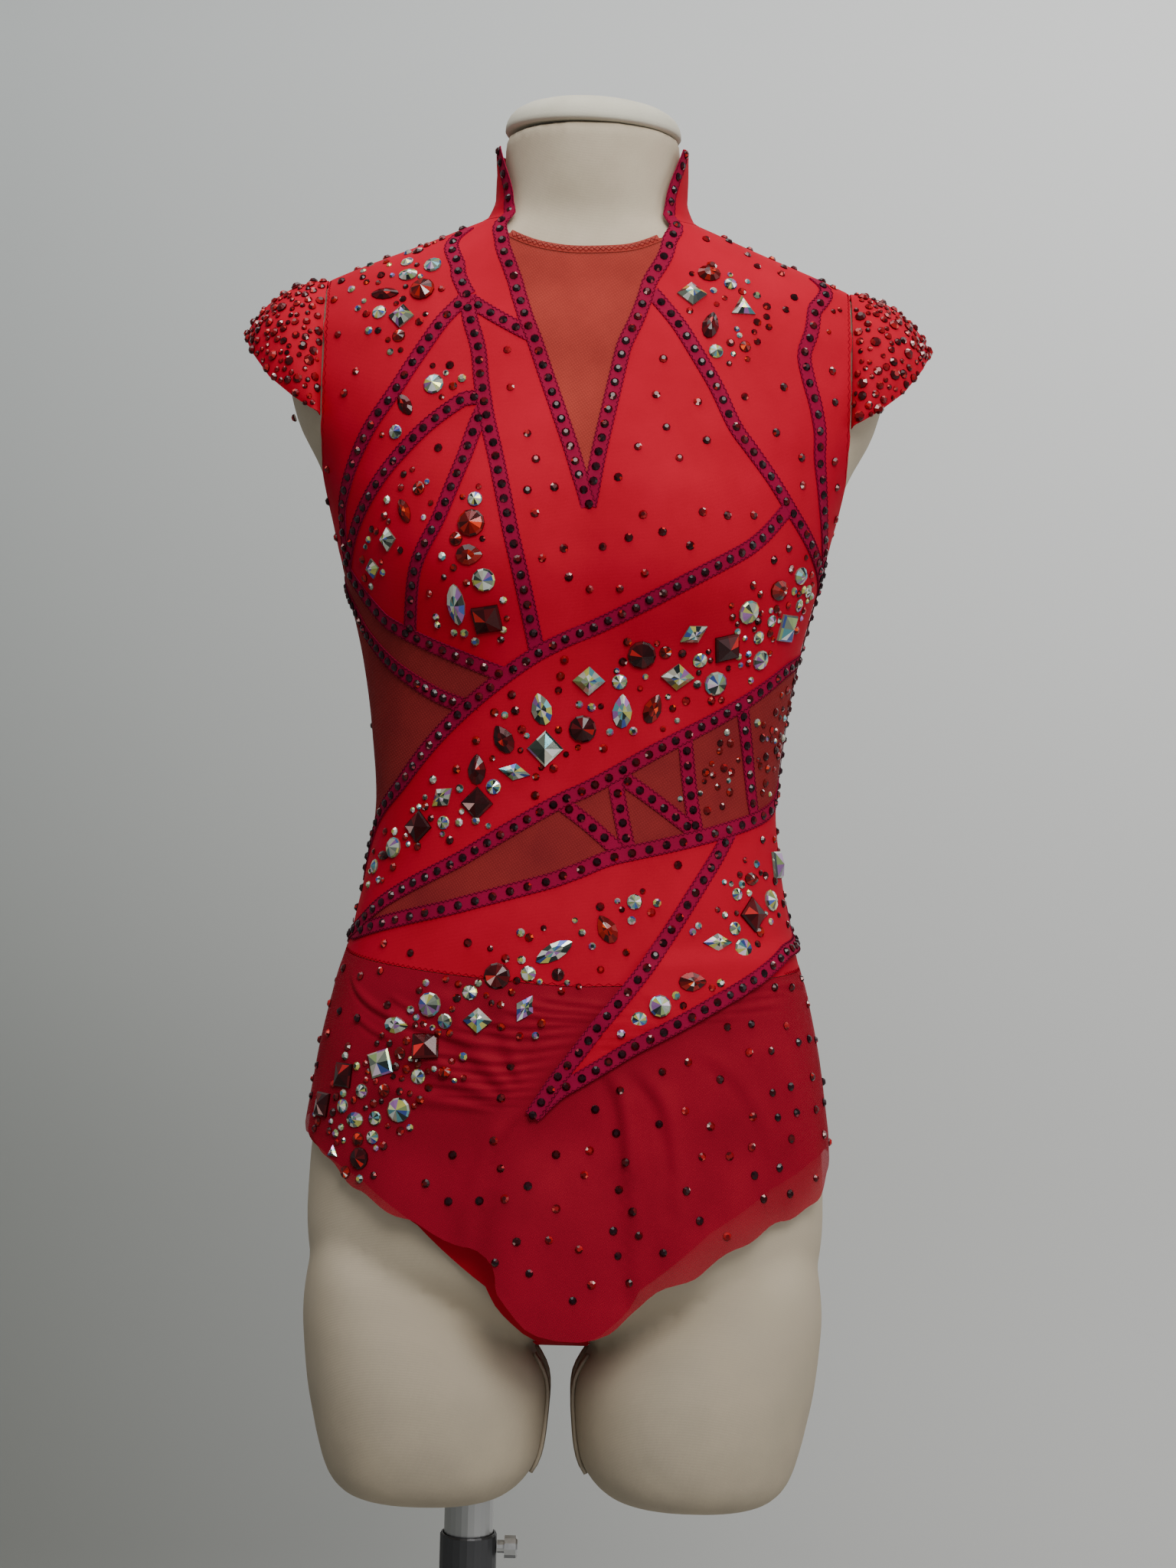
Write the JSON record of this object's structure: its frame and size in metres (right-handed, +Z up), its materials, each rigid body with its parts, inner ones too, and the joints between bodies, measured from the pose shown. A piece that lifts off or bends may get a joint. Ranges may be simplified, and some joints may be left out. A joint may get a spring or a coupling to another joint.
{
  "type": "rhythmic gymnastics leotard on a dress form",
  "caption": "Red leotard with cap sleeves, stand collar, crossing raspberry tapes, stones and a short mesh skirt, on a cloth-covered dress form with a pole stand.",
  "frame": {"origin": "floor level, under the middle of the part's width and depth", "axes": "+Z up, -Y towards the front of the garment, +X towards the viewer's right"},
  "size_m": [0.42, 0.29, 1.3369],
  "materials": {
    "red_knit": "stretch knit, soft sheen",
    "red_mesh": "stretch mesh",
    "neck_mesh": "fine sheer mesh",
    "raspberry_tape": "matt tape",
    "skirt_mesh": "sheer stretch mesh",
    "brief_knit": "stretch knit",
    "form_linen": "matt woven cover",
    "steel": "brushed",
    "dark_steel": "dark plated"
  },
  "bodies": {
    "stand": {"stand_base": "dark_steel", "stand_tube": "dark_steel", "clamp_screw": "steel"},
    "form": {"back_left": "red_knit", "back_right": "red_knit", "bodice_front": "red_knit", "brief_back": "brief_knit", "brief_front": "brief_knit", "collar": "red_knit", "form_body": "form_linen", "form_neck_cap": "form_linen", "gusset": "brief_knit", "hip_left": "red_knit", "hip_right": "red_knit", "neck_binding": "raspberry_tape", "neck_mesh": "neck_mesh", "point_panel": "red_knit", "pole": "steel", "sash": "red_knit", "side_mesh": "red_mesh", "skirt_back": "skirt_mesh", "skirt_front": "skirt_mesh", "sleeve_left": "red_knit", "sleeve_right": "red_knit", "tape_arc_inner": "raspberry_tape", "tape_arc_outer": "raspberry_tape", "tape_bust_left": "raspberry_tape", "tape_bust_right": "raspberry_tape", "tape_cross_left": "raspberry_tape", "tape_point_left": "raspberry_tape", "tape_point_right": "raspberry_tape", "tape_princess_left": "raspberry_tape", "tape_sash_bottom": "raspberry_tape", "tape_sash_top": "raspberry_tape", "tape_side_right": "raspberry_tape", "tape_strap_left": "raspberry_tape", "tape_under_bust": "raspberry_tape", "tape_v_left": "raspberry_tape", "tape_v_right": "raspberry_tape", "tape_waist_1": "raspberry_tape", "tape_waist_2": "raspberry_tape", "tape_waist_3": "raspberry_tape", "tape_waist_4": "raspberry_tape", "tape_waist_5": "raspberry_tape", "tape_waist_bottom": "raspberry_tape", "under_bust_mesh": "red_mesh", "waist_mesh": "red_mesh", "waist_panel": "red_mesh", "waist_side_panel": "red_mesh"}
  },
  "joints": [
    {"name": "height_slide", "type": "slide", "parent": "stand", "child": "form", "axis": [0, 0, 1], "range_m": [-0.01, 0.12]}
  ]
}
